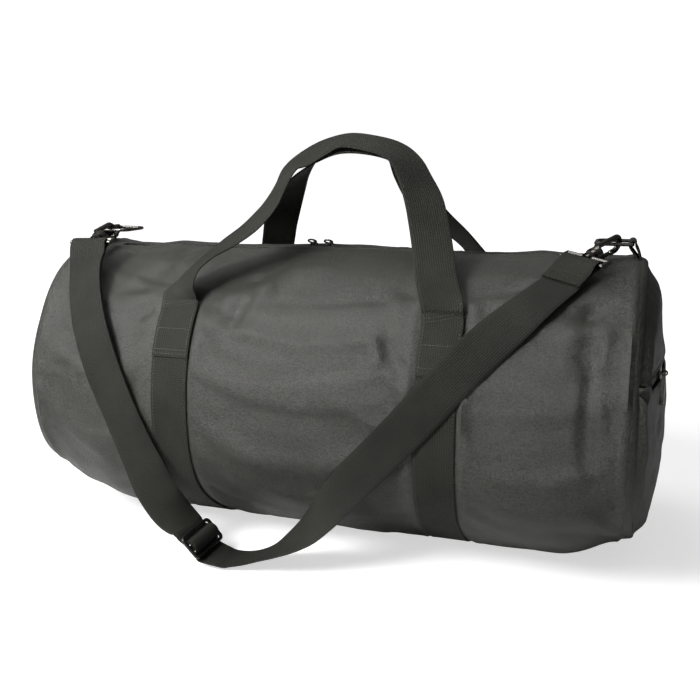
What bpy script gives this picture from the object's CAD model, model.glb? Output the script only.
"""Barrel duffel bag: cloth body, webbing, zips and hardware around the CAD frame."""
import math

import bpy
import numpy as np
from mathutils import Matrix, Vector, noise


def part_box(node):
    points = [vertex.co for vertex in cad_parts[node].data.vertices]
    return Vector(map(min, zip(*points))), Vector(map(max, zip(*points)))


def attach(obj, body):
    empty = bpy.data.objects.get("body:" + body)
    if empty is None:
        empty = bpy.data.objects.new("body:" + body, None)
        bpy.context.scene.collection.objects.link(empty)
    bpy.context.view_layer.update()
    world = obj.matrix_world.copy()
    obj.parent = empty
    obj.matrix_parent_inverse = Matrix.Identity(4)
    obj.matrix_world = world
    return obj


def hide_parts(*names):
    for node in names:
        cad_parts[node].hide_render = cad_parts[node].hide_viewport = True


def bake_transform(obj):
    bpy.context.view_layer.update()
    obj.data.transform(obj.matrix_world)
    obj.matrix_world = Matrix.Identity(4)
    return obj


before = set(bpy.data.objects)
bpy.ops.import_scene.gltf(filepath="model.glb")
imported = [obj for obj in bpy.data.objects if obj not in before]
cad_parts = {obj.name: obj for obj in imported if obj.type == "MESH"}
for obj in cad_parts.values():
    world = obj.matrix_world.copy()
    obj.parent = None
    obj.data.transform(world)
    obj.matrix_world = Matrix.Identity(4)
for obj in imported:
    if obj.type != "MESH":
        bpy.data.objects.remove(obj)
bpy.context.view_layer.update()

MM = 0.001
UP = np.array([0, 0, 1.0])

# ---- Sizes, from the frame where it holds them ------------------------------

_, barrel_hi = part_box("barrel_panel")
HALF_LENGTH = barrel_hi.x
HALF_DEPTH = barrel_hi.y
HEIGHT = barrel_hi.z
Z_CENTRE = 0.142
HALF_HEIGHT = HEIGHT - Z_CENTRE
SQUARENESS = 2.2
CLOTH = 1.6 * MM
MOUTH_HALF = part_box("mouth_panel_front")[1].x
MOUTH_RIGID = 0.110                       # the flaps' ends bend beyond this
FOLD_Y = 0.090
SLOT_Y = 0.0065
CHAIN_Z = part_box("zip_tape_front")[0].z
ZIP_HALF = 0.262
WEB_W = 0.038
WEB_T = 1.6 * MM
BAND_X = 0.130
BAND_TOP = 0.2465
LEFT_BULGE = 0.018
RIGHT_BULGE = 0.020
RIM_R = 0.160
DOME_Z = 0.146
POCKET_ZIP_Z = 0.200
LAP = 0.050                               # of a handle over its band, sewn down


# ---- Small helpers ----------------------------------------------------------

def smooth(edge0, edge1, value):
    """0 before edge0, 1 after edge1, smooth between; edge1 may be the lower one."""
    t = np.clip((np.asarray(value, float) - edge0) / (edge1 - edge0), 0, 1)
    return t * t * (3 - 2 * t)


def bump_at(value, centre, width):
    """A bell curve of height 1 round centre."""
    return np.exp(-(((np.asarray(value, float) - centre) / width) ** 2))


def unit(v):
    v = np.asarray(v, float)
    return v / np.linalg.norm(v, axis=-1, keepdims=True)


def new_object(name, verts, faces, uvs=None, sharp_degrees=50):
    """A mesh object; uvs is one pair per vertex, in metres over the surface."""
    mesh = bpy.data.meshes.new(name)
    mesh.from_pydata([tuple(v) for v in np.asarray(verts, float)], [], faces)
    mesh.validate()
    if uvs is not None:
        layer = mesh.uv_layers.new(name="surface")
        index = np.zeros(len(mesh.loops), int)
        mesh.loops.foreach_get("vertex_index", index)
        layer.data.foreach_set("uv", np.asarray(uvs, np.float32)[index].ravel())
    mesh.shade_smooth()
    mesh.set_sharp_from_angle(angle=math.radians(sharp_degrees))
    obj = bpy.data.objects.new(name, mesh)
    bpy.context.scene.collection.objects.link(obj)
    return obj


def grid_faces(rows, cols, close_rows=False, close_cols=False):
    """The faces of a grid of points, numbered row by row."""
    faces = []
    for i in range(rows if close_rows else rows - 1):
        for j in range(cols if close_cols else cols - 1):
            a, b = i * cols, (i + 1) % rows * cols
            k = (j + 1) % cols
            faces.append((a + j, b + j, b + k, a + k))
    return faces


def thick_sheet(name, outer, inward, faces, border, uvs, flip=False):
    """Outer points, the same points moved by inward, and a rim round the border."""
    outer = outer.reshape(-1, 3)
    n = len(outer)
    faces = faces + [tuple(n + k for k in reversed(f)) for f in faces]
    faces += [(n + b, n + a, a, b) for a, b in zip(border, border[1:] + border[:1])]
    if flip:
        faces = [tuple(reversed(f)) for f in faces]
    verts = np.concatenate([outer, outer + inward.reshape(-1, 3)])
    return new_object(name, verts, faces, np.concatenate([uvs.reshape(-1, 2)] * 2))


def shell(name, outer, uvs, thickness, inward, flip=False):
    """A sheet with thickness from a grid of outer points."""
    rows, cols = outer.shape[:2]
    last = (rows - 1) * cols
    border = (list(range(cols)) + list(range(2 * cols - 1, rows * cols, cols))
              + list(range(last + cols - 2, last - 1, -1)) + list(range(last - cols, 0, -cols)))
    return thick_sheet(name, outer, inward * thickness, grid_faces(rows, cols), border, uvs, flip)


def catmull(points, steps):
    """A smooth curve through points, with steps stretches between each two."""
    p = np.asarray(points, float)
    padded = np.vstack([p[:1], p, p[-1:]])
    out = []
    for i in range(len(p) - 1):
        p0, p1, p2, p3 = padded[i:i + 4]
        for s in range(steps):
            t = s / steps
            out.append(0.5 * (2 * p1 + (p2 - p0) * t + (2 * p0 - 5 * p1 + 4 * p2 - p3) * t * t
                              + (3 * p1 - p0 - 3 * p2 + p3) * t ** 3))
    out.append(p[-1])
    return np.array(out)


def merged(name, parts, sharp_degrees=50):
    """One object from (verts, faces, uvs) parts."""
    verts, faces, uvs, offset = [], [], [], 0
    for v, f, u in parts:
        verts.append(np.asarray(v, float))
        uvs.append(np.asarray(u, float))
        faces += [tuple(offset + k for k in face) for face in f]
        offset += len(v)
    return new_object(name, np.concatenate(verts), faces, np.concatenate(uvs), sharp_degrees)


def webbing_axes(centres, widths):
    """Unit vectors across a length of webbing and out of its face."""
    t = unit(np.gradient(centres, axis=0))
    w = unit(widths - (widths * t).sum(1, keepdims=True) * t)
    return w, np.cross(w, t)


def end_caps(rows, cols):
    """The faces that close the first and last row of a tube."""
    return [tuple(range(cols)), tuple(reversed(range((rows - 1) * cols, rows * cols)))]


def ribbon_parts(centres, widths, width=WEB_W, thick=WEB_T, across=8):
    """Webbing along centres: (verts, faces, uvs), with rounded selvages."""
    c = np.asarray(centres, float)
    w, m = webbing_axes(c, widths)
    length = np.concatenate([[0], np.cumsum(np.linalg.norm(np.diff(c, axis=0), axis=1))])
    flat = np.linspace(-0.5, 0.5, across + 1) * width
    shoulder = width / 2 - 0.45 * thick
    side = np.concatenate([flat[:1], [-shoulder], flat[1:-1], [shoulder], flat[-1:]])
    height = np.full(len(side), 0.5 * thick)
    height[[0, -1]] *= 0.45
    section = np.concatenate([np.stack([side, height], 1), np.stack([side, -height], 1)[::-1]])
    verts = c[:, None] + w[:, None] * section[None, :, :1] + m[:, None] * section[None, :, 1:]
    rows, cols = verts.shape[:2]
    uv = np.empty((rows, cols, 2))
    uv[..., 0] = section[None, :, 0]
    uv[..., 1] = length[:, None]
    faces = grid_faces(rows, cols, close_cols=True) + end_caps(rows, cols)
    return verts.reshape(-1, 3), faces, uv.reshape(-1, 2)


def stitch_parts(points, normals, pitch=3.3 * MM, length=2.2 * MM, radius=0.27 * MM):
    """Thread stitches along a line of points: small spindles that sit on the surface."""
    p = np.asarray(points, float)
    n = np.asarray(normals, float)
    s = np.concatenate([[0], np.cumsum(np.linalg.norm(np.diff(p, axis=0), axis=1))])

    def read(values, at):
        return np.array([np.interp(at, s, values[:, k]) for k in range(3)])

    parts = []
    for at in np.arange(pitch / 2, s[-1], pitch):
        here = read(p, at)
        along = unit(read(p, at + 0.3 * MM) - read(p, at - 0.3 * MM))
        up = unit(read(n, at))
        side = unit(np.cross(along, up))
        up = np.cross(side, along)
        ring = []
        for x, r in ((-0.5, 0.35), (-0.28, 0.95), (0.28, 0.95), (0.5, 0.35)):
            for a in (45, 135, 225, 315):
                ring.append(here + along * x * length + radius * r * (
                    side * math.cos(math.radians(a)) + up * (math.sin(math.radians(a)) + 0.15)))
        faces = grid_faces(4, 4, close_cols=True) + [(0, 1, 2, 3), (15, 14, 13, 12)]
        parts.append((np.array(ring), faces, np.zeros((16, 2))))
    return parts


def sweep_parts(path, section, closed=True, up=(0, 0, 1)):
    """A section of (side, up) offsets swept along a path."""
    p = np.asarray(path, float)
    if closed:
        t = unit(np.roll(p, -1, 0) - np.roll(p, 1, 0))
    else:
        t = unit(np.gradient(p, axis=0))
    side = unit(np.cross(t, np.asarray(up, float)))
    top = np.cross(side, t)
    sec = np.asarray(section, float)
    verts = p[:, None] + side[:, None] * sec[None, :, :1] + top[:, None] * sec[None, :, 1:]
    rows, cols = verts.shape[:2]
    faces = grid_faces(rows, cols, close_rows=closed, close_cols=True)
    if not closed:
        faces += end_caps(rows, cols)
    return verts.reshape(-1, 3), faces, np.zeros((rows * cols, 2))


def rounded_section(width, height, radius, steps=3):
    """A rectangle with rounded corners, as points round its outline."""
    out = []
    for cx, cy, start in ((1, 1, 0), (-1, 1, 90), (-1, -1, 180), (1, -1, 270)):
        for k in range(steps + 1):
            a = math.radians(start + 90 * k / steps)
            out.append((cx * (width / 2 - radius) + radius * math.cos(a),
                        cy * (height / 2 - radius) + radius * math.sin(a)))
    return out


def place(obj, body, slot, material, *replaced):
    """Gives a piece its material, slot and body, and the CAD nodes it stands for."""
    obj.data.materials.clear()
    obj.data.materials.append(material)
    if replaced:
        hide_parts(*replaced)
    if body:
        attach(obj, body)
    return obj


# ---- Materials --------------------------------------------------------------

class Nodes:
    """A short way to write a node tree."""

    def __init__(self, name):
        self.material = bpy.data.materials.new(name)
        self.material.use_nodes = True
        self.tree = self.material.node_tree
        self.bsdf = self.tree.nodes["Principled BSDF"]

    def add(self, kind, inputs=None, **settings):
        node = self.tree.nodes.new(kind)
        for key, value in settings.items():
            setattr(node, key, value)
        for key, value in (inputs or {}).items():
            if isinstance(value, bpy.types.NodeSocket):
                self.tree.links.new(value, node.inputs[key])
            else:
                node.inputs[key].default_value = value
        return node

    def math(self, operation, a, b=0.0):
        return self.add("ShaderNodeMath", {0: a, 1: b}, operation=operation).outputs[0]

    def weighted(self, first, *rest):
        """The sum of (value, weight) pairs."""
        total = self.math("MULTIPLY", *first)
        for term in rest:
            total = self.math("ADD", total, self.math("MULTIPLY", *term))
        return total

    def constant(self, **values):
        """Sets the shader's own sockets; an underscore stands for a space."""
        for key, value in values.items():
            self.bsdf.inputs[key.replace("_", " ")].default_value = value

    def noise(self, vector, scale, detail=3.0, rough=0.55):
        return self.add("ShaderNodeTexNoise", {
            "Vector": vector, "Scale": scale, "Detail": detail, "Roughness": rough}).outputs["Fac"]

    def ramp(self, value, *stops):
        node = self.add("ShaderNodeValToRGB", {"Fac": value})
        while len(node.color_ramp.elements) < len(stops):
            node.color_ramp.elements.new(0.5)
        for element, (at, colour) in zip(node.color_ramp.elements, stops):
            element.position = at
            element.color = (*colour, 1)
        return node.outputs["Color"]

    def spread(self, value, low, high):
        return self.add("ShaderNodeMapRange", {
            "Value": value, "To Min": low, "To Max": high}).outputs["Result"]

    def finish(self, colour, roughness, height=None, strength=0.4, distance=0.0004):
        self.tree.links.new(colour, self.bsdf.inputs["Base Color"])
        self.tree.links.new(roughness, self.bsdf.inputs["Roughness"])
        if height is not None:
            bump = self.add("ShaderNodeBump", {
                "Height": height, "Strength": strength, "Distance": distance})
            self.tree.links.new(bump.outputs["Normal"], self.bsdf.inputs["Normal"])
        return self.material


def thread_wave(n, coordinate, pitch):
    """0 to 1 across each yarn of the given pitch."""
    turn = n.math("MULTIPLY", coordinate, 2 * math.pi / pitch)
    return n.math("ADD", n.math("MULTIPLY", n.math("SINE", turn), 0.5), 0.5)


def woven_cloth(name, dark, light, yarn, rough=(0.27, 0.54), grain_bump=0.6):
    """Plain weave with uneven dye and a glittering grain, glossy where yarns lie flat."""
    n = Nodes(name)
    place_at = n.add("ShaderNodeTexCoord")
    spot = place_at.outputs["Object"]
    split = n.add("ShaderNodeSeparateXYZ", {0: place_at.outputs["UV"]})
    warp = thread_wave(n, split.outputs[0], yarn)
    weft = thread_wave(n, split.outputs[1], yarn)
    weave = n.math("MULTIPLY", warp, weft)
    snapped = n.add("ShaderNodeVectorMath", {0: spot, 1: (1.3 * MM, 1.0 * MM, 0.9 * MM)},
                    operation="SNAP")
    speck = n.add("ShaderNodeTexWhiteNoise", {"Vector": snapped.outputs[0]}).outputs["Value"]
    grain = n.noise(spot, 620.0, 3.0, 0.7)
    slub = n.noise(spot, 230.0, 4.0, 0.6)
    cloud = n.noise(spot, 9.0, 4.0, 0.55)
    tone = n.weighted((grain, 0.20), (slub, 0.18), (cloud, 0.20), (speck, 0.70))
    colour = n.ramp(tone, (0.28, dark), (1.00, light))
    height = n.weighted((weave, 0.4), (grain, 1.1), (slub, 1.3), (speck, 0.40))
    gloss = n.weighted((speck, 0.5), (slub, 0.5))
    n.constant(Sheen_Weight=0.02, Sheen_Roughness=0.45, Specular_IOR_Level=0.55)
    return n.finish(colour, n.spread(gloss, *rough), height, grain_bump, 0.0007)


def ribbed_webbing(name, dark, light):
    """Narrow webbing: ribs along it, crossed by short weft floats that alternate."""
    n = Nodes(name)
    place_at = n.add("ShaderNodeTexCoord")
    spot = place_at.outputs["Object"]
    split = n.add("ShaderNodeSeparateXYZ", {0: place_at.outputs["UV"]})
    u, v = split.outputs[0], split.outputs[1]
    pitch = 2.1 * MM
    rib = thread_wave(n, u, pitch)
    zigzag = n.math("SINE", n.math("MULTIPLY", u, math.pi / pitch))
    shifted = n.math("ADD", v, n.math("MULTIPLY", zigzag, 0.55 * MM))
    float_ = thread_wave(n, shifted, pitch)
    fine = thread_wave(n, n.math("ADD", u, v), 0.8 * MM)
    fuzz = n.noise(spot, 900.0, 3.0, 0.7)
    wear = n.noise(spot, 22.0, 3.0, 0.5)
    height = n.weighted((rib, 0.45), (float_, 0.55), (fine, 0.12), (fuzz, 0.35))
    tone = n.weighted((height, 0.34), (wear, 0.42))
    colour = n.ramp(tone, (0.30, dark), (0.66, light))
    n.constant(Sheen_Weight=0.02, Sheen_Roughness=0.5, Specular_IOR_Level=0.22)
    return n.finish(colour, n.spread(fuzz, 0.58, 0.78), height, 0.65, 0.0007)


def plated_metal(name, base, rough):
    """Dark plating with dull patches and fine scratches."""
    n = Nodes(name)
    spot = n.add("ShaderNodeTexCoord").outputs["Object"]
    stain = n.noise(spot, 120.0, 4.0, 0.6)
    scratch = n.noise(spot, 1500.0, 2.0, 0.6)
    dull = tuple(c * 0.62 for c in base)
    colour = n.ramp(stain, (0.35, dull), (0.62, base))
    n.constant(Metallic=1.0)
    return n.finish(colour, n.spread(scratch, rough * 0.75, rough * 1.45), scratch, 0.12, 0.0002)


def moulded(name, base, rough):
    """Moulded nylon with a fine grain."""
    n = Nodes(name)
    spot = n.add("ShaderNodeTexCoord").outputs["Object"]
    grain = n.noise(spot, 1400.0, 2.0, 0.6)
    cloud = n.noise(spot, 60.0, 3.0, 0.5)
    pale = tuple(c * 1.5 for c in base)
    colour = n.ramp(cloud, (0.35, base), (0.7, pale))
    n.constant(Specular_IOR_Level=0.5)
    return n.finish(colour, n.spread(grain, rough * 0.8, rough * 1.3), grain, 0.18, 0.0002)


BODY = woven_cloth("nylon_body", (0.0011, 0.0012, 0.0006), (0.0325, 0.0330, 0.0252), 0.62 * MM)
LINING = woven_cloth("nylon_binding", (0.004, 0.004, 0.004), (0.014, 0.014, 0.013), 0.9 * MM)
TAPE = woven_cloth("zip_tape_weave", (0.003, 0.003, 0.003), (0.012, 0.012, 0.011), 0.5 * MM)
WEB = ribbed_webbing("webbing_ribbed", (0.0032, 0.0034, 0.0020), (0.0225, 0.0232, 0.0170))
STRAP_WEB = ribbed_webbing("webbing_strap", (0.0032, 0.0034, 0.0022), (0.0185, 0.0192, 0.0144))
THREAD = woven_cloth("sewing_thread", (0.008, 0.008, 0.006), (0.026, 0.026, 0.021), 0.3 * MM)
COIL = moulded("zip_coil_nylon", (0.006, 0.006, 0.006), 0.38)
PLASTIC = moulded("adjuster_moulding", (0.0045, 0.0045, 0.0045), 0.26)
NICKEL = plated_metal("hardware_plate", (0.17, 0.165, 0.15), 0.22)
ZIP_METAL = plated_metal("zip_plate", (0.20, 0.195, 0.18), 0.24)
SPRING = plated_metal("spring_wire", (0.38, 0.38, 0.37), 0.28)


# ---- The body's surface -----------------------------------------------------
# A point of the cloth is given by x and an angle round the barrel: 0 is the
# rear, 90 the top, 180 the front and 270 the bottom.

def fold_angle(y):
    """Angle on the rear side at which the plain section is y from the middle."""
    return math.degrees(math.acos((y / HALF_DEPTH) ** (SQUARENESS / 2)))


SLOT_ANGLE = fold_angle(SLOT_Y)
FOLD_ANGLE = fold_angle(FOLD_Y)


def spow(v):
    """The power of a sine or cosine that squares the section off, sign kept."""
    return np.sign(v) * np.abs(v) ** (2 / SQUARENESS)


def surface(x, angle, off=0.0):
    """Points of the bag's outer face, sagging as the cloth does, moved out by off."""
    x = np.asarray(x, float)
    a = np.radians(np.asarray(angle, float))
    front = smooth(-0.1, 0.25, -np.cos(a))
    low = np.sin(a)
    # the lower corners are rounder than the plain section, most of all at the ends
    corner = bump_at(low, -0.83, 0.30) * (10.5 - 5 * bump_at(x, -0.215, 0.045))
    at_ends = 11 * smooth(-0.255, -0.297, x) + 17 * smooth(0.235, 0.297, x)
    corner = corner + bump_at(low, -0.98, 0.62) * at_ends
    # the left end is drawn in, the right one hardly
    drawn = 13 * smooth(-0.20, -0.293, x) + 2.0 * smooth(0.22, 0.293, x)
    drawn = drawn * smooth(1.0, 0.5, low)
    # each bay between the bands is a little fuller in its middle
    bay = 1.6 * (bump_at(x, 0, 0.07) + bump_at(x, -0.21, 0.04) + bump_at(x, 0.205, 0.045))
    top = smooth(0.55, 0.95, low)
    shrink = 1 - (corner + drawn - bay * (1 - top)) * MM / HALF_DEPTH
    y = (HALF_DEPTH * shrink + off) * spow(np.cos(a))
    z = Z_CENTRE + (HALF_HEIGHT * shrink + off) * spow(np.sin(a))
    # the top dips beside the left handle and stands fuller to the right
    dip = (-4.5 * bump_at(x, -0.120, 0.042) + 1.6 * bump_at(x, 0.205, 0.04)
           - 4.6 * smooth(-0.198, -0.235, x) * smooth(-0.292, -0.26, x))
    z = z + top * MM * dip * (0.6 + 0.4 * front)
    foot = 1.75 * MM - off
    z = foot + softplus(z - foot, 1.2 * MM)
    return np.stack([x + 0 * y, y, z], -1)


def softplus(v, width):
    """v where it is above zero, easing to zero below it."""
    return np.where(v > 6 * width, v, width * np.log1p(np.exp(np.clip(v / width, -40, 6.0))))


def surface_normal(x, angle):
    d = 0.4
    along_angle = surface(x, angle + d) - surface(x, angle - d)
    along_x = surface(x + MM, angle) - surface(x - MM, angle)
    return unit(np.cross(along_angle, along_x))


# Angles run from the rear slot edge down the rear, under the bag and up the front
ROWS_FLAP = 22
ROWS_BODY = 190
flap_rows = np.linspace(SLOT_ANGLE, FOLD_ANGLE, ROWS_FLAP + 1)
body_rows = np.linspace(FOLD_ANGLE, -180 - FOLD_ANGLE, ROWS_BODY + 1)
front_rows = -180 - flap_rows[::-1]
ANGLES = np.concatenate([flap_rows, body_rows[1:], front_rows[1:]])
# Steps between columns: from each end to the mouth, over its bending part, over the rest
END_STEPS, BEND_STEPS, RIGID_STEPS = 24, 21, 54
columns_left = np.linspace(-HALF_LENGTH, -MOUTH_HALF, END_STEPS + 1)
columns_end = np.linspace(-MOUTH_HALF, -MOUTH_RIGID, BEND_STEPS + 1)
columns_mid = np.linspace(-MOUTH_RIGID, MOUTH_RIGID, RIGID_STEPS + 1)
COLUMNS = np.concatenate([columns_left, columns_end[1:], columns_mid[1:],
                          -columns_end[::-1][1:], -columns_left[::-1][1:]])
# first and last column of the mouth, and of its rigid part
COL_RIGID = (END_STEPS + BEND_STEPS, END_STEPS + BEND_STEPS + RIGID_STEPS)
COL_MOUTH = (END_STEPS, COL_RIGID[1] + BEND_STEPS)
AA, XX = np.meshgrid(ANGLES, COLUMNS, indexing="ij")
GRID = surface(XX, AA)
NORMAL = surface_normal(XX, AA)
arc = np.concatenate([np.zeros((1, GRID.shape[1])), np.cumsum(np.linalg.norm(
    np.diff(GRID, axis=0), axis=2), axis=0)])
GRID_UV = np.stack([XX, arc.mean(1, keepdims=True) + 0 * XX], -1)
IS_FRONT = GRID[..., 1] < 0

# Soft folds in the cloth: from, to (x and height), width and depth in mm, on
# the front. A positive depth is a ridge. They start at seams and stitching.
FRONT_FOLDS = [
    ((-55, 262), (-76, 208), 9, -2.6), ((-42, 264), (-62, 214), 8, 1.7),
    ((-104, 250), (-66, 226), 8, -2.2), ((-104, 243), (-48, 205), 11, 1.5),
    ((-104, 236), (-70, 176), 9, -1.5), ((-72, 254), (-30, 281), 10, 2.2),
    ((-80, 262), (-34, 287), 7, -1.8), ((-30, 281), (20, 289), 9, 1.4),
    ((-160, 246), (-180, 200), 9, -1.9), ((-150, 244), (-205, 236), 8, 1.5),
    ((-155, 232), (-196, 184), 8, 1.3), ((-160, 288), (-190, 244), 10, -1.6),
    ((78, 233), (109, 190), 7, -2.6), ((66, 228), (104, 172), 8, 1.8),
    ((77, 208), (109, 160), 6, -1.9), ((92, 252), (60, 262), 8, 1.3),
    ((150, 244), (176, 190), 7, -2.0), ((152, 226), (166, 120), 6, 1.5),
    ((160, 250), (230, 243), 10, -1.6), ((165, 262), (228, 258), 8, 1.3),
    ((238, 264), (288, 284), 6, 2.2), ((228, 252), (287, 268), 8, -1.8),
    ((240, 236), (288, 240), 9, 1.3), ((258, 272), (262, 188), 9, -1.6),
    ((272, 250), (282, 120), 5, 1.6), ((264, 220), (272, 90), 6, -1.4),
    ((286, 60), (240, 92), 8, 1.4), ((286, 44), (222, 62), 9, -1.8),
    ((-286, 240), (-222, 212), 9, -1.5), ((-288, 205), (-235, 190), 9, 1.3),
    ((-286, 100), (-228, 70), 10, -1.7), ((-284, 60), (-232, 44), 9, 1.4),
    ((-104, 60), (-40, 30), 10, -1.2), ((104, 70), (30, 34), 11, 1.2),
    ((-100, 118), (0, 99), 16, 0.9), ((30, 171), (104, 150), 14, 0.9),
]
REAR_FOLDS = [
    ((-104, 250), (-60, 215), 9, -2.4), ((-104, 240), (-52, 196), 9, 1.6),
    ((104, 250), (58, 222), 8, -2.2), ((104, 238), (70, 182), 9, 1.6),
    ((-156, 246), (-206, 222), 8, -1.8), ((156, 246), (214, 236), 9, -1.8),
    ((156, 228), (196, 176), 8, 1.4), ((-156, 226), (-190, 168), 8, 1.4),
    ((-40, 282), (40, 288), 10, 1.4), ((286, 262), (226, 270), 8, 1.8),
    ((286, 236), (232, 210), 9, -1.6), ((-286, 250), (-222, 262), 8, 1.8),
    ((-286, 214), (-228, 190), 9, -1.6), ((284, 90), (222, 60), 9, -1.6),
    ((-284, 90), (-226, 64), 9, -1.6), ((-104, 70), (-20, 38), 11, 1.2),
    ((104, 60), (20, 40), 11, -1.2), ((-30, 200), (40, 186), 15, -0.9),
]


def fold_height(x_mm, z_mm, folds):
    """Height of the folds at points (x, z), each a ridge along a short line."""
    total = np.zeros_like(x_mm)
    for (x0, z0), (x1, z1), width, depth in folds:
        dx, dz = x1 - x0, z1 - z0
        length = math.hypot(dx, dz)
        along = ((x_mm - x0) * dx + (z_mm - z0) * dz) / length
        bow = 0.08 * length * np.sin(np.pi * np.clip(along / length, 0, 1))
        aside = ((x_mm - x0) * dz - (z_mm - z0) * dx) / length - bow
        fade = (smooth(-0.08 * length, 0.18 * length, along)
                * smooth(1.08 * length, 0.45 * length, along))
        ridge = bump_at(aside, 0, width) - 0.45 * bump_at(aside, 1.7 * width, width * 1.1)
        total += depth * fade * ridge
    return total


def hold():
    """1 where the cloth is sewn down or stands on the floor, 0 where it is free."""
    x = np.abs(GRID[..., 0])
    z = GRID[..., 2]
    sewn = smooth(0.024, 0.0195, np.abs(x - BAND_X)) * smooth(0.258, 0.247, z)
    sewn = np.maximum(sewn, smooth(HALF_LENGTH - 5 * MM, HALF_LENGTH - 1 * MM, x))
    slot = np.abs(GRID[..., 1])
    sewn = np.maximum(sewn, smooth(0.017, 0.0115, slot) * (z > Z_CENTRE))
    sewn = np.maximum(sewn, smooth(5 * MM, 2.6 * MM, z))
    return sewn


HELD = hold()
CLOTH_FRAMES = 26


def slack_cloth():
    """Cloth simulation of the body: slightly slack cloth, pinned where it is sewn
    and blown out by what the bag holds. Returns the movement along the normal."""
    rows, cols = GRID.shape[:2]
    start = GRID.copy()
    free = 1 - HELD
    for i in range(rows):
        for j in range(cols):
            p = Vector(GRID[i, j] * 17.0)
            q = Vector(GRID[i, j] * 48.0)
            start[i, j] += NORMAL[i, j] * free[i, j] * MM * (
                1.5 * noise.noise(p) + 0.8 * noise.noise(q))
    obj = new_object("cloth_study", start.reshape(-1, 3), grid_faces(rows, cols))
    group = obj.vertex_groups.new(name="sewn")
    held = HELD.ravel()
    for k in np.nonzero(held > 0.02)[0]:
        group.add([int(k)], float(held[k]), "REPLACE")
    cloth = obj.modifiers.new("cloth", "CLOTH")
    slack = -0.009                        # below zero the cloth is larger than its frame
    for key, value in dict(
            quality=6, mass=0.18, tension_stiffness=22, compression_stiffness=12,
            shear_stiffness=3, bending_stiffness=0.35, vertex_group_mass="sewn",
            pin_stiffness=1.0, use_pressure=True, uniform_pressure_force=2.4,
            shrink_min=slack, shrink_max=slack).items():
        setattr(cloth.settings, key, value)
    cloth.settings.effector_weights.gravity = 0.08
    cloth.collision_settings.use_collision = False
    scene = bpy.context.scene
    cloth.point_cache.frame_start = 1
    cloth.point_cache.frame_end = CLOTH_FRAMES
    for at in range(1, CLOTH_FRAMES + 1):
        scene.frame_set(at)
    result = obj.evaluated_get(bpy.context.evaluated_depsgraph_get()).to_mesh()
    co = np.zeros(len(result.vertices) * 3, np.float32)
    result.vertices.foreach_get("co", co)
    moved = co.reshape(rows, cols, 3).astype(float) - GRID
    scene.frame_set(1)
    mesh = obj.data
    bpy.data.objects.remove(obj)
    bpy.data.meshes.remove(mesh)
    return (moved * NORMAL).sum(-1)


def local_mean(values, reach):
    """Mean of each point's neighbourhood on the grid."""
    total = np.zeros_like(values)
    padded = np.pad(values, reach, "edge")
    for i in range(2 * reach + 1):
        for j in range(2 * reach + 1):
            total += padded[i:i + values.shape[0], j:j + values.shape[1]]
    return total / (2 * reach + 1) ** 2


def slow_noise(points, scale, seed):
    """Smooth noise at each point; scale is how often it changes in a metre."""
    flat = points.reshape(-1, 3)
    values = [noise.noise(Vector(p) * scale + Vector((seed, 0, 0))) for p in flat]
    return np.array(values).reshape(points.shape[:-1])


def cloth_height():
    """How far each point of the cloth stands off the plain surface, in metres."""
    free = 1 - HELD
    x_mm = GRID[..., 0] / MM
    z_mm = GRID[..., 2] / MM
    folds = np.where(IS_FRONT, fold_height(x_mm, z_mm, FRONT_FOLDS),
                     fold_height(x_mm, z_mm, REAR_FOLDS))
    height = 1.45 * folds
    height += 2.6 * slow_noise(GRID, 8.5, 3.0) + 1.9 * slow_noise(GRID, 19.0, 14.0)
    height += 0.5 * slow_noise(GRID, 45.0, 9.0)
    # a few sharp creases wander over the cloth
    crease = 1 - np.abs(slow_noise(GRID, 13.0, 77.0)) * 7
    height += 1.3 * np.clip(crease, 0, 1) ** 2 * smooth(-0.1, 0.35, slow_noise(GRID, 9.0, 55.0))
    # small puckers along the end seams and beside the bands
    off_middle = np.abs(GRID[..., 0])
    off_band = np.abs(off_middle - BAND_X)
    near_end = smooth(HALF_LENGTH - 34 * MM, HALF_LENGTH - 6 * MM, off_middle)
    pucker = slow_noise(GRID * np.array([0.25, 1, 1]), 62.0, 21.0)
    height += 1.5 * pucker * near_end
    beside = bump_at(off_band, 0.025, 0.007)
    height += 0.7 * pucker * beside + 0.5 * beside
    # the wrinkles of the slack cloth are kept, and little of its overall sag
    blown = local_mean(np.clip(slack_cloth() / MM, -14, 9), 1)
    sag = local_mean(blown, 9)
    height += 1.5 * np.tanh(0.75 * (blown - sag) / 1.5) + 1.1 * np.tanh((sag + 3) / 5.0)
    height *= free
    # nothing stands proud under the rings and hooks
    below_hook = (smooth(0.195, 0.225, off_middle) * (GRID[..., 1] < 0.03)
                  * smooth(0.235, 0.25, GRID[..., 2]))
    pressed = np.minimum(height, height * (1 - below_hook) + 0.1 * below_hook)
    height = np.where(below_hook > 0, pressed, height)
    # the end seams stand up as a soft roll, then dip into the seam
    off_end = HALF_LENGTH - off_middle
    height += 1.3 * bump_at(off_end, 4.5 * MM, 2.6 * MM) - 1.0 * bump_at(off_end, 0, 1.6 * MM)
    # the hems along the zip: rolled edge and a sewn channel
    off_slot = np.abs(GRID[..., 1]) - SLOT_Y
    top = GRID[..., 2] > 0.25
    height += top * (-0.9 * bump_at(off_slot, 4.4 * MM, 1.1 * MM)
                     + 1.2 * bump_at(off_slot, 2.0 * MM, 1.5 * MM)
                     - 1.1 * bump_at(off_slot, 0, 0.8 * MM))
    # cloth is pressed in under the bands
    under = smooth(0.0205, 0.0185, off_band) * smooth(0.252, 0.246, GRID[..., 2])
    height -= 0.35 * under
    return height * MM


HEIGHTS = cloth_height()
OUTER = GRID + NORMAL * HEIGHTS[..., None]
OUTER[..., 2] = np.maximum(OUTER[..., 2], 1.65 * MM)


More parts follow.
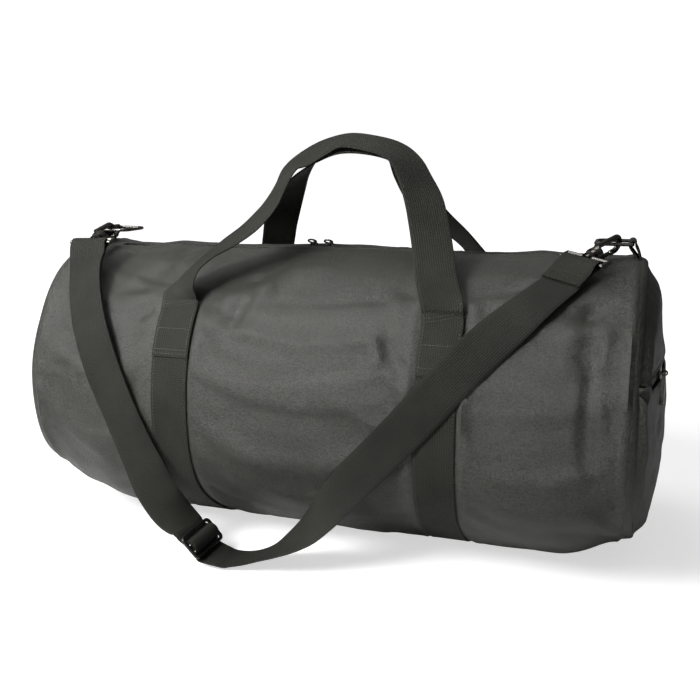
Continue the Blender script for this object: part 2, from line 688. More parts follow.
def cloth_off(x, angle):
    """The cloth's height at one place, read from the grid."""
    i = np.interp(-angle, -ANGLES, np.arange(len(ANGLES)))
    j = np.interp(x, COLUMNS, np.arange(len(COLUMNS)))
    i0, j0 = int(min(i, len(ANGLES) - 2)), int(min(j, len(COLUMNS) - 2))
    fi, fj = i - i0, j - j0
    h = HEIGHTS
    return ((h[i0, j0] * (1 - fi) + h[i0 + 1, j0] * fi) * (1 - fj)
            + (h[i0, j0 + 1] * (1 - fi) + h[i0 + 1, j0 + 1] * fi) * fj)


# ---- Body cloth -------------------------------------------------------------

def patch(name, rows, cols):
    """A stretch of the cloth, between two rows and two columns of the grid."""
    at = slice(rows[0], rows[1] + 1), slice(cols[0], cols[1] + 1)
    return shell(name, OUTER[at], GRID_UV[at], CLOTH, -NORMAL[at], flip=True)


LAST_ROW = len(ANGLES) - 1
LAST_COL = len(COLUMNS) - 1
REAR_FOLD = ROWS_FLAP
FRONT_FOLD = ROWS_FLAP + ROWS_BODY


def body_shell():
    """The barrel outside the mouth, as one closed skin."""
    rows, cols = OUTER.shape[:2]
    keep = np.ones((rows - 1, cols - 1), bool)
    keep[:REAR_FOLD, COL_MOUTH[0]:COL_MOUTH[1]] = False
    keep[FRONT_FOLD:, COL_MOUTH[0]:COL_MOUTH[1]] = False
    inner = OUTER - NORMAL * CLOTH
    bridge_cols = [j for j in range(cols) if abs(COLUMNS[j]) > ZIP_HALF]
    verts = list(OUTER.reshape(-1, 3)) + list(inner.reshape(-1, 3))
    uvs = list(GRID_UV.reshape(-1, 2)) * 2
    n = rows * cols
    faces = []
    edges = {}

    def quad(a, b, c, d):
        faces.append((d, c, b, a))
        for p, q in ((a, b), (b, c), (c, d), (d, a)):
            edges[(p, q)] = edges.get((p, q), 0) + 1

    for i in range(rows - 1):
        for j in range(cols - 1):
            if keep[i, j]:
                a = i * cols + j
                quad(a, a + cols, a + cols + 1, a + 1)
    # cloth beyond the ends of the zip, over the middle
    mid = {}
    for j in bridge_cols:
        a, b = OUTER[-1, j], OUTER[0, j]
        for k, f in enumerate((0.25, 0.5, 0.75)):
            crown = np.array([0, 0, 0.5 * MM * math.sin(math.pi * f)])
            mid[j, k] = len(verts)
            verts.append(a * (1 - f) + b * f + crown)
            verts.append(a * (1 - f) + b * f + crown - np.array([0, 0, CLOTH]))
            uvs += [GRID_UV[-1, j] + np.array([0, 13 * MM * f])] * 2
    for j in bridge_cols:
        if j + 1 in bridge_cols:
            left, right = ([(rows - 1) * cols + c, mid[c, 0], mid[c, 1], mid[c, 2], c]
                           for c in (j, j + 1))
            for k in range(4):
                quad(left[k], left[k + 1], right[k + 1], right[k])
    mid_index = set(mid.values())

    def below(k):
        return k + 1 if k in mid_index else k + n

    back = [tuple(below(k) for k in reversed(f)) for f in faces]
    rim = [(p, q, below(q), below(p)) for (p, q) in edges if (q, p) not in edges]
    used = sorted({k for f in faces + back + rim for k in f})
    renumber = {k: i for i, k in enumerate(used)}
    all_faces = [tuple(renumber[k] for k in f) for f in faces + back + rim]
    obj = new_object("body_cloth", [verts[k] for k in used], all_faces, [uvs[k] for k in used])
    return place(obj, "bag", "body_cloth", BODY, "barrel_panel")


body_shell()

ENDS = {"left": (COL_MOUTH[0], COL_RIGID[0], -1), "right": (COL_RIGID[1], COL_MOUTH[1], 1)}
SIDES = {"rear": ((0, REAR_FOLD), "mouth_rear", 1),
         "front": ((FRONT_FOLD, LAST_ROW), "mouth_front", -1)}


def to_mouth(obj):
    """Bends a piece along X, from the bag at the mouth's end to the moving flap."""
    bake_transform(obj)


for side, (rows, body, _) in SIDES.items():
    middle = patch(f"mouth_flap_{side}", rows, COL_RIGID)
    place(middle, body, "body_cloth", BODY, f"mouth_panel_{side}")
    for end, (c0, c1, end_side) in ENDS.items():
        obj = patch(f"mouth_flap_{side}_{end}", rows, (c0, c1))
        place(obj, None, "body_cloth", BODY)
        to_mouth(obj)


# ---- End panels -------------------------------------------------------------

ACROSS_END = np.array([0, 1, 1])          # keeps a pattern the same through an end's depth


def dome_radius(bulge):
    return (RIM_R ** 2 + bulge ** 2) / (2 * bulge)


def dome_x(bulge, y, z, off=0.0):
    """How far out an end's dome is at (y, z), moved out by off."""
    r = dome_radius(bulge)
    return HALF_LENGTH + bulge - r + np.sqrt((r + off) ** 2 - y ** 2 - (z - DOME_Z) ** 2)


def end_panel(side, name, bulge, node):
    """A domed disc whose edge meets the barrel's last column."""
    rim = list(OUTER[:, 0 if side < 0 else LAST_COL])
    top = [rim[-1] * (1 - f) + rim[0] * f for f in (0.33, 0.67)]
    rim = np.array(rim + top)
    centre = np.array([side * HALF_LENGTH, 0, DOME_Z])
    rings = np.concatenate([[1.0, 0.988, 0.974, 0.955, 0.93], np.linspace(0.89, 0.03, 30)])
    points = []
    for f in rings:
        p = centre + (rim - centre) * f
        x = dome_x(bulge, p[:, 1], p[:, 2])
        wave = slow_noise(p * ACROSS_END, 15.0, 5.0 * side) * (2.6 if side < 0 else 0.5)
        wave += slow_noise(p * ACROSS_END, 40.0, 31.0) * 0.35
        roll = 1.6 * bump_at(f, 0.974, 0.010) - 2.2 * bump_at(f, 1.0, 0.006)
        x = x + MM * (roll + wave * smooth(0.995, 0.93, f))
        inner = smooth(1.004, 0.99, f)
        x = x * inner + HALF_LENGTH * (1 - inner)
        points.append(np.stack([side * x, p[:, 1], p[:, 2]], -1))
    points = np.array(points)
    points[..., 2] = np.maximum(points[..., 2], 1.2 * MM)
    inward = np.zeros_like(points)
    inward[..., 0] = -side * CLOTH
    rows, cols = points.shape[:2]
    faces = grid_faces(rows, cols, close_cols=True)
    faces.append(tuple((rows - 1) * cols + j for j in range(cols)))
    obj = thick_sheet(name, points, inward, faces, list(range(cols)), points[..., 1:],
                      flip=side > 0)
    return place(obj, "bag", "body_cloth", BODY, node)


end_panel(-1, "end_cloth_left", LEFT_BULGE, "end_panel_left")
end_panel(1, "end_cloth_right", RIGHT_BULGE, "end_panel_right")


def seam_binding(side, name, node):
    """Folded tape over the raw edges of an end seam, inside the bag."""
    angles = np.linspace(0, 360, 181)[:-1]
    # (in from the end, out from the body), round the folded tape
    section = ((-11.6, -2.9), (-11.6, -4.4), (-6, -4.7), (-1.2, -4.4), (-0.6, -3.4), (-1.2, -2.6),
               (-6, -2.5))
    verts = []
    for dx, off in section:
        x = np.full(len(angles), side * (HALF_LENGTH + dx * MM))
        p = surface(x, angles, off * MM)
        p[:, 2] = np.maximum(p[:, 2], (1.8 - off * 0.4) * MM)
        verts.append(p)
    verts = np.array(verts)
    rows, cols = verts.shape[:2]
    faces = grid_faces(rows, cols, close_rows=True, close_cols=True)
    if side < 0:
        faces = [tuple(reversed(f)) for f in faces]
    uv = np.stack(np.meshgrid(np.arange(rows) * 4 * MM, angles * 2.6 * MM, indexing="ij"), -1)
    obj = new_object(name, verts.reshape(-1, 3), faces, uv.reshape(-1, 2))
    return place(obj, "bag", "binding", LINING, node)


seam_binding(-1, "binding_tape_left", "seam_binding_left")
seam_binding(1, "binding_tape_right", "seam_binding_right")


# ---- Bands, sewn round the body ---------------------------------------------

def angle_at_height(x, z, front):
    """Angle at which the surface is at height z, on one side."""
    table = np.linspace(90, 200, 400) if front else np.linspace(90, -20, 400)
    heights = surface(np.full(400, x), table)[:, 2]
    return float(np.interp(-z, -heights, table))


def band_angles(x):
    """Angles down the rear, under the bag and up the front."""
    start = angle_at_height(x, BAND_TOP, False)
    end = angle_at_height(x, BAND_TOP, True)
    return np.linspace(start, end - 360, 230)


def sew(name, parts, body="bag"):
    """The stitching of a piece, as one piece of its own."""
    return place(merged(name + "_stitching", parts), body, "webbing", THREAD)


def band(x, name, node):
    """Webbing sewn round the body, from one handle's base to the other's."""
    angles = band_angles(x)
    centres = surface(np.full(len(angles), x), angles, WEB_T / 2)
    centres[:, 2] = np.maximum(centres[:, 2], 0.05 * MM + WEB_T / 2)
    widths = np.tile([1.0, 0, 0], (len(angles), 1))
    obj = merged(name, [ribbon_parts(centres, widths)])
    place(obj, "bag", "webbing", WEB, node)
    normals = surface_normal(np.full(len(angles), x), angles)
    top = centres + normals * (WEB_T / 2 + 0.05 * MM)
    bare = (top[:, 2] > 4 * MM) & (top[:, 2] < BAND_TOP - LAP - 1 * MM)
    parts = []
    for edge in (-1, 1):
        line = top + np.array([edge * (WEB_W / 2 - 2.2 * MM), 0, 0])
        for part in (bare & (line[:, 1] > 0), bare & (line[:, 1] < 0)):
            parts += stitch_parts(line[part], normals[part])
    sew(name, parts)


band(-BAND_X, "band_webbing_left", "band_left")
band(BAND_X, "band_webbing_right", "band_right")

# ---- Carry handles ----------------------------------------------------------
# Stations of the webbing's middle in mm, and the direction of its width

FRONT_HANDLE = [
    ((-132, -118.2, 247.5), (-1, 0, 0)), ((-132, -116.5, 253), (-1, 0.1, 0)),
    ((-129, -112, 263), (-0.8, 0.6, 0)), ((-121, -105, 278), (-0.6, 0.8, 0)),
    ((-108, -96, 291), (-0.6, 0.8, 0)), ((-92, -85, 303), (-0.7, 0.7, 0.05)),
    ((-78, -70, 316), (-0.77, 0.63, 0)), ((-68, -53, 332), (-0.8, 0.58, -0.12)),
    ((-63, -38, 347), (-0.76, 0.6, -0.25)), ((-59, -24, 362), (-0.7, 0.66, -0.2)),
    ((-54, -13, 374), (-0.65, 0.72, 0.1)), ((-41, -5, 384), (-0.5, 0.78, 0.35)),
    ((-23, -1, 394), (-0.3, 0.85, 0.42)), ((0, 0, 401), (0, 0.92, 0.38)),
    ((30, -1, 397), (0.15, 0.91, 0.38)), ((50, -5, 391), (0.4, 0.86, 0.3)),
    ((66, -14, 381), (0.62, 0.76, 0.1)), ((79, -28, 365), (0.76, 0.65, 0)),
    ((92, -45, 345), (0.88, 0.46, 0.05)), ((101, -60, 323), (0.93, 0.34, 0.08)),
    ((109, -76, 300), (0.96, 0.26, 0.08)), ((116, -93, 279), (0.98, 0.2, 0.05)),
    ((124, -110, 263), (1, 0.1, 0)), ((128, -117, 253), (1, 0, 0)),
    ((128, -118.2, 247.5), (1, 0, 0))]
REAR_HANDLE = [
    ((-132, 118.2, 247.5), (-1, 0, 0)), ((-131.5, 116.5, 253), (-1, 0, 0)),
    ((-127, 109, 263), (-1, -0.1, 0)), ((-118, 94, 277), (-0.9, -0.35, 0)),
    ((-110, 81, 293), (-0.9, -0.4, 0.05)), ((-101, 66, 311), (-0.88, -0.45, 0.1)),
    ((-89, 50, 329), (-0.76, -0.65, 0)), ((-77, 36, 345), (-0.62, -0.75, -0.15)),
    ((-64, 23, 360), (-0.45, -0.83, -0.3)), ((-48, 11, 373), (-0.3, -0.87, -0.38)),
    ((-24, 4, 387), (-0.15, -0.9, -0.4)), ((0, 3, 395), (0, -0.92, -0.38)),
    ((28, 4, 391), (0.25, -0.9, -0.3)), ((47, 11, 379), (0.6, -0.75, -0.2)),
    ((59, 24, 361), (0.85, -0.5, 0)), ((69, 41, 341), (0.9, -0.42, 0.15)),
    ((83, 60, 322), (0.82, -0.52, 0.2)), ((101, 77, 304), (0.76, -0.63, 0.12)),
    ((118, 95, 283), (0.75, -0.65, 0)), ((125, 108, 266), (0.9, -0.35, 0)),
    ((128, 116.5, 253), (1, 0, 0)), ((128, 118.2, 247.5), (1, 0, 0))]


def curve_of(stations, steps):
    """Centres and width directions along a curve through stations in mm."""
    centres = catmull([s[0] for s in stations], steps) * MM
    widths = catmull([s[1] for s in stations], steps)
    return centres, widths


def lap_stations(x, front):
    """Stations up the outside of a band, from where the handle's sewn end begins."""
    across = np.sign(x) * np.array([1.0, 0, 0])
    out = []
    for z in np.linspace(BAND_TOP - LAP, BAND_TOP - 8 * MM, 6):
        angle = angle_at_height(x, z, front)
        p = surface(np.array([x]), np.array([angle]), 1.5 * WEB_T + 0.1 * MM)[0]
        out.append((p / MM, across))
    return out


def handle(stations, name, node, side):
    """A carry handle, sewn down over a band at each end and free between."""
    steps = 10
    left = lap_stations(-BAND_X, side < 0)
    right = lap_stations(BAND_X, side < 0)
    centres, widths = curve_of(left + stations + right[::-1], steps)
    obj = merged(name, [ribbon_parts(centres, widths)])
    place(obj, None, "webbing", WEB, node)

    w, m = webbing_axes(centres, widths)
    outward = np.sign((m * np.array([0, side, 0.3])).sum(1))[10]
    parts = []
    ends = steps * len(left)
    proud = WEB_T / 2 + 0.05 * MM
    # along both selvages, on both faces where both can be seen
    for edge in (-1, 1):
        line = centres + w * edge * (WEB_W / 2 - 2.4 * MM)
        for face, trim in ((outward, 3), (-outward, ends + 4)):
            span = slice(trim, len(centres) - trim)
            parts += stitch_parts((line + m * face * proud)[span], (m * face)[span])
    # rows across the sewn laps
    for at in (4, 8, 30, ends - 6, ends - 2):
        for k in (at, len(centres) - 1 - at):
            across = np.linspace(-WEB_W / 2 + 3 * MM, WEB_W / 2 - 3 * MM, 12)
            line = centres[k] + w[k] * across[:, None] + m[k] * outward * proud
            parts += stitch_parts(line, np.tile(m[k] * outward, (12, 1)), 2.3 * MM, 1.9 * MM)
    for piece in (obj, sew(name, parts, None)):
        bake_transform(piece)


handle(FRONT_HANDLE, "carry_handle_front", "handle_front", -1)
handle(REAR_HANDLE, "carry_handle_rear", "handle_rear", 1)

# ---- Zips -------------------------------------------------------------------

TAPE_T = 0.7 * MM
TOOTH_PITCH = 1.25 * MM


def tooth_parts(centre, side_dir, along, up):
    """One turn of a coil: a flattened loop whose head reaches over the middle."""
    outline = ((-2.9, 0.25), (-2.9, 1.55), (-1.2, 2.05), (0.2, 1.75), (0.45, 1.1), (0.2, 0.45),
               (-1.2, 0.2))
    half = 0.36 * MM
    verts = []
    for s in (-half, half):
        for a, h in outline:
            verts.append(centre + side_dir * a * MM + up * h * MM + along * s)
    k = len(outline)
    faces = [tuple(range(k)), tuple(reversed(range(k, 2 * k)))]
    faces += [((j + 1) % k, j, k + j, k + (j + 1) % k) for j in range(k)]
    return np.array(verts), faces, np.zeros((2 * k, 2))


def top_dip(x):
    """Height of the bag's top over its plain height at x, negative where it sags."""
    return float(surface(np.array([x]), np.array([90.0]))[0, 2] - HEIGHT)


def chain_height(x):
    """Height of the main tapes' upper face at x."""
    return CHAIN_Z + TAPE_T + top_dip(x)


def main_tape(side, x0, x1, name):
    """One tape of the main zip, under the hem of its flap."""
    xs = np.linspace(x0, x1, max(8, int((x1 - x0) / (4 * MM))))
    ys = np.array([1.2, 5.5, 9, 12.5, 16.2]) * MM
    outer = np.array([[(x, side * y, chain_height(x) - 0.25 * MM * (y > 10 * MM))
                       for x in xs] for y in ys])
    uv = np.array([[(x, y) for x in xs] for y in ys])
    down = np.zeros_like(outer)
    down[..., 2] = -1
    return shell(name, outer, uv, TAPE_T, down, flip=side < 0)


def main_coil(side, x0, x1, name):
    """One row of a coil, its turns between those of the other row."""
    parts = []
    shift = 0.25 if side < 0 else 0.75
    first = math.ceil(x0 / TOOTH_PITCH - shift)
    last = math.floor(x1 / TOOTH_PITCH - shift)
    for k in range(first, last + 1):
        x = (k + shift) * TOOTH_PITCH
        centre = np.array([x, 0, chain_height(x)])
        parts.append(tooth_parts(centre, np.array([0, -side, 0.0]), np.array([1.0, 0, 0]), UP))
    xs = np.linspace(x0, x1, 40)
    for y in (3.3, 4.3):
        line = np.array([(x, side * y * MM, chain_height(x) + 0.2 * MM) for x in xs])
        parts += stitch_parts(line, np.tile(UP, (len(xs), 1)), 2.5 * MM, 2.0 * MM, 0.25 * MM)
    return merged(name, parts)


def hem_stitching(side, x0, x1, name):
    """The row of stitches that sews a flap's hem to the tape."""
    angle = fold_angle(SLOT_Y + 3.6 * MM)
    angle = angle if side > 0 else -180 - angle
    line, normals = [], []
    for x in np.linspace(x0, x1, max(6, int((x1 - x0) / (6 * MM)))):
        at = np.array([x]), np.array([angle])
        n = surface_normal(*at)[0]
        line.append(surface(*at)[0] + n * (cloth_off(x, angle) + 0.1 * MM))
        normals.append(n)
    return merged(name, stitch_parts(np.array(line), np.array(normals)))


ZIP_STRETCHES = (("mid", -MOUTH_RIGID, MOUTH_RIGID, 0), ("left", -MOUTH_HALF, -MOUTH_RIGID, -1),
                 ("right", MOUTH_RIGID, MOUTH_HALF, 1))
for side, (_, body, sign) in SIDES.items():
    for part, x0, x1, end_side in ZIP_STRETCHES:
        tape = place(main_tape(sign, x0, x1, f"main_tape_{side}_{part}"), None, "zip_tape", TAPE)
        coil = place(main_coil(sign, x0, x1, f"main_coil_{side}_{part}"), None, "zip_coil", COIL)
        hem = place(hem_stitching(sign, x0, x1, f"hem_stitching_{side}_{part}"), None, "webbing",
                    THREAD)
        for obj in (tape, coil, hem):
            if end_side:
                to_mouth(obj)
            else:
                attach(obj, body)
        if not end_side:
            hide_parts(f"zip_tape_{side}")
            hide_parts(f"zip_coil_{side}")

for end, sign in (("left", -1), ("right", 1)):
    # the closed ends of the zip: the tape runs on past the coil
    tape_span, coil_span, hem_span = (sorted((sign * MOUTH_HALF, sign * (ZIP_HALF + beyond)))
                                      for beyond in (8 * MM, -4 * MM, 0))
    for side, s in (("front", -1), ("rear", 1)):
        tape = place(main_tape(s, *tape_span, f"end_tape_{side}_{end}"), "bag", "zip_tape", TAPE)
        if side == "front":
            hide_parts(f"zip_end_{end}")
        place(main_coil(s, *coil_span, f"end_coil_{side}_{end}"), "bag", "zip_coil", COIL)
        place(hem_stitching(s, *hem_span, f"end_hem_stitching_{side}_{end}"), "bag", "webbing",
              THREAD)


def zip_stop(sign, name):
    """The metal clip across the teeth at one end of the zip."""
    x = sign * (ZIP_HALF - 3.5 * MM)
    path = [(x, y * MM, chain_height(x) + h * MM)
            for y, h in ((-3, 1.2), (-2.6, 1.25), (2.6, 1.25), (3, 1.2))]
    section = rounded_section(3.2 * MM, 2.9 * MM, 0.8 * MM)
    obj = merged(name, [sweep_parts(path, section, closed=False)], 40)
    place(obj, "bag", "zip_metal", ZIP_METAL)


zip_stop(-1, "zip_stop_left")
zip_stop(1, "zip_stop_right")

# ---- End pocket -------------------------------------------------------------

POCKET_GAP = 0.006                        # from the zip's middle to each lip
POCKET_RISE = 0.008                       # of the pocket's cloth over the end panel
POCKET_ZIP_HALF = 0.122
ROW_IN = 3.4 * MM                         # from an edge of the pocket's cloth to its stitches
TAPE_RISE = 0.0048
# creases that run from the sewn edge towards the zip: (y, z) in mm, width and depth
POCKET_CREASES = (
    ((-120, 100), (-20, 180), 7, 1.6), ((120, 90), (30, 170), 8, -1.5),
    ((-90, 45), (-30, 100), 9, -1.5), ((80, 40), (20, 110), 9, 1.5),
    ((-130, 150), (-50, 185), 6, -1.4), ((130, 150), (60, 180), 6, 1.4))

rim_angles = np.concatenate([ANGLES, [ANGLES[0] - 360]])
rim_points = np.concatenate([OUTER[:, LAST_COL], OUTER[:1, LAST_COL]])
POCKET_CENTRE = np.array([HALF_LENGTH, 0, DOME_Z])


def pocket_outline(angle):
    """The sewn edge, just inside the end panel's rim."""
    inset = 0.972
    angle = np.where(angle > rim_angles[0], angle - 360, angle)
    p = np.stack([np.interp(-angle, -rim_angles, rim_points[:, k]) for k in range(3)], -1)
    return POCKET_CENTRE + (p - POCKET_CENTRE) * inset


def outline_angle(z, front):
    """Angle at which the sewn edge is at height z, on one side."""
    table = np.linspace(60, 0, 300) if not front else np.linspace(120, 180, 300)
    heights = pocket_outline(table)[:, 2]
    return float(np.interp(-z, -heights, table))


def pocket_grid(lower):
    """The pocket's cloth between its zip and its sewn edge: points, their normals, and
    their distances from the edge and from the zip's lip."""
    lip = POCKET_ZIP_Z + (-POCKET_GAP if lower else POCKET_GAP)
    rear, front = outline_angle(lip, False), outline_angle(lip, True)
    if lower:
        front -= 360
    u = np.linspace(0, 1, 121)
    edge = pocket_outline(rear + (front - rear) * u)
    y_rear, y_front = edge[0, 1], edge[-1, 1]
    mid, half = (y_rear + y_front) / 2, (y_rear - y_front) / 2
    lip_y = mid + half * np.cos(np.pi * u)
    # the slit is sewn shut just beyond each end of the zip
    slit = smooth(POCKET_ZIP_HALF + 7 * MM, POCKET_ZIP_HALF + 0.5 * MM, np.abs(lip_y))
    lip_z = POCKET_ZIP_Z + (lip - POCKET_ZIP_Z) * np.maximum(slit, 0.03)
    lips = np.stack([np.full(len(u), HALF_LENGTH), lip_y, lip_z], -1)
    v = np.concatenate([[0, 0.008, 0.02, 0.035], np.linspace(0.06, 0.9, 34),
                        [0.93, 0.95, 0.97, 0.985, 1.0]])
    p = lips[None] * (1 - v[:, None, None]) + edge[None] * v[:, None, None]
    along = np.sin(np.pi * u)[None, :]
    down = v[:, None]
    reach = np.linalg.norm(edge - lips, axis=1)[None, :]
    corner_reach = np.minimum(*(np.linalg.norm((p - edge[k])[..., 1:], axis=-1)
                                for k in (0, -1)))
    from_edge = (1 - down) * reach
    from_lip = down * reach
    rise = 0.9 * MM + (POCKET_RISE - 0.9 * MM) * np.minimum(
        smooth(0, (16 if lower else 26) * MM, from_edge), smooth(0, 8 * MM, corner_reach))
    belly = (3.2 if lower else 1.2) * MM * np.sin(np.pi * down) ** 0.8 * along
    gape = 1.6 * MM * bump_at(from_lip, 0, 9 * MM) * along
    wave = (slow_noise(p * ACROSS_END, 24.0, 41.0) * 1.7
            + slow_noise(p * ACROSS_END, 66.0, 57.0) * 0.9)
    soft = smooth(0, 16 * MM, from_edge) * (0.35 + 0.65 * smooth(0, 20 * MM, from_lip))
    sewn = (-0.5 * bump_at(from_edge, ROW_IN, 1.2 * MM)
            - 0.4 * bump_at(from_lip, ROW_IN, 1.2 * MM))
    crease = fold_height(p[..., 1] / MM, p[..., 2] / MM, POCKET_CREASES)
    off = rise + belly + gape + (wave * soft + sewn + 0.8 * crease * soft) * MM
    p[..., 0] = dome_x(RIGHT_BULGE, p[..., 1], p[..., 2]) + off
    p[..., 2] = np.maximum(p[..., 2], 3 * MM)
    normal = unit(np.cross(np.gradient(p, axis=1), np.gradient(p, axis=0) + 1e-9))
    normal = np.where(normal[..., :1] > 0, normal, -normal)
    return p, normal, from_edge, from_lip


def pocket_cloth(lower, name, node):
    """The pocket's cloth on one side of its zip, with its two rows of stitches."""
    p, normal, from_edge, from_lip = pocket_grid(lower)
    inward = np.zeros_like(p)
    inward[..., 0] = -1
    obj = shell(name, p, p[..., 1:], CLOTH, inward, flip=lower)
    place(obj, "bag", "body_cloth", BODY, node)
    parts = []
    middle = p.shape[1] // 2
    for distance, trim in ((from_edge, 3), (from_lip, 8)):
        row = int(np.argmin(np.abs(distance[:, middle] - ROW_IN)))
        span = row, slice(trim, -trim)
        parts += stitch_parts((p + normal * 0.15 * MM)[span], normal[span])
    sew(name, parts)


pocket_cloth(True, "pocket_cloth", "end_pocket_panel")
pocket_cloth(False, "pocket_facing", "end_pocket_facing")


def pocket_surface(y, z, off):
    """Points off the right end's dome, at (y, z)."""
    return np.stack([dome_x(RIGHT_BULGE, y, z, off), y, z], -1)


def pocket_tape(side, name, node):
    """One tape of the pocket's zip, under the pocket's cloth."""
    ys = np.linspace(-POCKET_ZIP_HALF - 4 * MM, POCKET_ZIP_HALF + 4 * MM, 62)
    zs = POCKET_ZIP_Z + side * np.array([1.2, 5, 9, 15]) * MM
    z, y = np.meshgrid(zs, ys, indexing="ij")
    p = pocket_surface(y, z, TAPE_RISE + TAPE_T)
    inward = np.tile([-1.0, 0, 0], (*p.shape[:2], 1))
    obj = shell(name, p, p[..., 1:], TAPE_T, inward, flip=side < 0)
    place(obj, "bag", "zip_tape", TAPE, node)


pocket_tape(-1, "pocket_tape_lower", "pocket_zip_tape_lower")
pocket_tape(1, "pocket_tape_upper", "pocket_zip_tape_upper")


def pocket_coil():
    """Both rows of the pocket zip's coil, over the end panel's dome."""
    parts = []
    count = int(2 * (POCKET_ZIP_HALF - 2 * MM) / TOOTH_PITCH)
    dome_centre = np.array([dome_x(RIGHT_BULGE, 0, DOME_Z) - dome_radius(RIGHT_BULGE), 0, DOME_Z])
    for side, shift in ((-1, 0.25), (1, 0.75)):
        for k in range(count):
            y = -POCKET_ZIP_HALF + 2 * MM + (k + shift) * TOOTH_PITCH
            at = pocket_surface(y, POCKET_ZIP_Z, TAPE_RISE + TAPE_T)
            up = unit(at - dome_centre)
            along = unit(np.cross(up, UP))
            across = np.cross(along, up)
            parts.append(tooth_parts(at, across * (-side if across[2] > 0 else side), along, up))
    place(merged("pocket_coil", parts), "bag", "zip_coil", COIL, "pocket_zip_coil")


pocket_coil()

# ---- Ring tabs --------------------------------------------------------------

RING_WIRE_R = 1.75 * MM
RING_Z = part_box("d_ring_right")[1].z - RING_WIRE_R
RING_LEG_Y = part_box("d_ring_right")[1].y - RING_WIRE_R


def ring_tab(side, name, node):
    """Webbing folded round the ring's bar, with both ends in the end seam."""
    path = [(292.2, 290.2), (291.2, 294), (289.2, 299.2), (287.3, 303)]
    turn = np.radians(np.arange(0, 181, 30))
    path += list(zip(284 + 2.95 * np.cos(turn), RING_Z / MM + 2.95 * np.sin(turn)))
    path += [(281.6, 302.5), (284.2, 298.5), (287.6, 294.2), (290.2, 290.4)]
    stations = [((side * x, 0, z), (0, 1.0, 0)) for x, z in path]
    centres, widths = curve_of(stations, 4)
    width = 2 * (RING_LEG_Y - RING_WIRE_R) - 2 * MM
    obj = merged(name, [ribbon_parts(centres, widths, width, WEB_T)])
    place(obj, "bag", "webbing", WEB, node)
    _, m = webbing_axes(centres, widths)
    across = np.linspace(-width / 2 + 3 * MM, width / 2 - 3 * MM, 12)
    threads = []
    for k in (6, 9, len(centres) - 7, len(centres) - 10):
        outer_side = side * (1 if k < 20 else -1)
        out = m[k] if (m[k] * np.array([outer_side, 0, 0.2])).sum() > 0 else -m[k]
        line = centres[k] + across[:, None] * np.array([0, 1.0, 0]) + out * (WEB_T / 2 + 0.05 * MM)
        threads += stitch_parts(line, np.tile(out, (12, 1)), 2.4 * MM, 1.9 * MM)
    sew(name, threads)


ring_tab(-1, "ring_tab_webbing_left", "ring_tab_left")
ring_tab(1, "ring_tab_webbing_right", "ring_tab_right")

# ---- Shoulder strap ---------------------------------------------------------
# One length of webbing: folded over the right hook's eye and sewn down, through
# the adjuster, round the left hook's eye, back, and sewn round the middle bar.

ADJUST_AT = np.array([-95, -160, 22.0])
ADJUST_T = unit([0.69, 0, -0.73])
ADJUST_W = unit(np.array([0.2, 0.97, 0.05]) - np.dot([0.2, 0.97, 0.05], ADJUST_T) * ADJUST_T)
ADJUST_N = np.cross(ADJUST_T, ADJUST_W)
PLY = 1.2                                 # from the middle of two plies to each
LOOP_R = 3.5                              # of the webbing round a hook's eye
EYE_BAR = -52                             # along the hook, from the ring to the eye's bar
RING_HOOK_X = 268                         # where each hook hangs on its ring
HOOK_DIR = {1: unit([0.508, 0.813, 0.225]), -1: unit([-0.12, 0.97, 0.17])}


def in_adjuster(t, n):
    """A station at t along the slide and n out of its face."""
    return ADJUST_AT + t * ADJUST_T + n * ADJUST_N, ADJUST_W


def lifted(stations, h):
    """Stations moved across the webbing by h."""
    out = []
    last = len(stations) - 1
    for i, (p, w) in enumerate(stations):
        ahead, back = stations[min(i + 1, last)][0], stations[max(i - 1, 0)][0]
        t = unit(np.array(ahead, float) - np.array(back, float))
        w = np.array(w, float)
        w = unit(w - np.dot(w, t) * t)
        out.append((np.array(p, float) + h * np.cross(w, t), w))
    return out


def round_bar(side, w, along):
    """The webbing's turn round the bar of a hook's eye."""
    t = unit(np.array(along) - np.dot(along, w) * w)
    m = side * np.cross(t, w)
    c = np.array([side * RING_HOOK_X, -RING_LEG_Y / MM, RING_Z / MM]) + EYE_BAR * HOOK_DIR[side]
    out = [(c - 6 * t + 3 * m, w)]
    for a in range(0, 181, 30):
        a = math.radians(a)
        out.append((c + LOOP_R * (math.sin(a) * t + math.cos(a) * m), w))
    return out + [(c - 6 * t - 3 * m, w)]


def across_hook(side):
    """The direction of the bar in a hook's eye, level along X and square to the hook."""
    u = HOOK_DIR[side]
    return unit(np.array([1.0, 0, 0]) - u[0] * u)


RIGHT_FOLD = [((226, -88, 277), (-0.8, 0.55, 0.25)), ((233, -76.5, 284.5), (-0.84, 0.5, 0.2))]
RIGHT_RUN = [
    ((209, -107, 262), (-0.75, 0.55, 0.35)), ((188, -125, 243), (-0.75, 0.35, 0.55)),
    ((165, -140, 221), (-0.74, 0.15, 0.66)), ((144, -149, 197), (-0.75, 0.05, 0.65)),
    ((122, -155.5, 171), (-0.77, 0, 0.64)), ((100, -156, 145), (-0.74, 0, 0.66)),
    ((77, -156, 119), (-0.74, 0.05, 0.66)), ((58, -156, 98), (-0.72, 0.18, 0.66)),
    ((41, -156, 78), (-0.68, 0.4, 0.6)), ((28, -155, 61), (-0.6, 0.62, 0.5)),
    ((15, -155, 46), (-0.45, 0.76, 0.45)), ((1, -155, 34), (-0.25, 0.9, 0.35)),
    ((-13, -155, 24), (-0.08, 0.97, 0.2)), ((-29, -155, 14), (0.02, 1, 0)),
    ((-46, -156, 7), (0.05, 1, -0.05)), ((-62, -158, 4.5), (0.08, 1, -0.02)),
    ((-73, -160, 6), (0.15, 0.98, 0.03))]
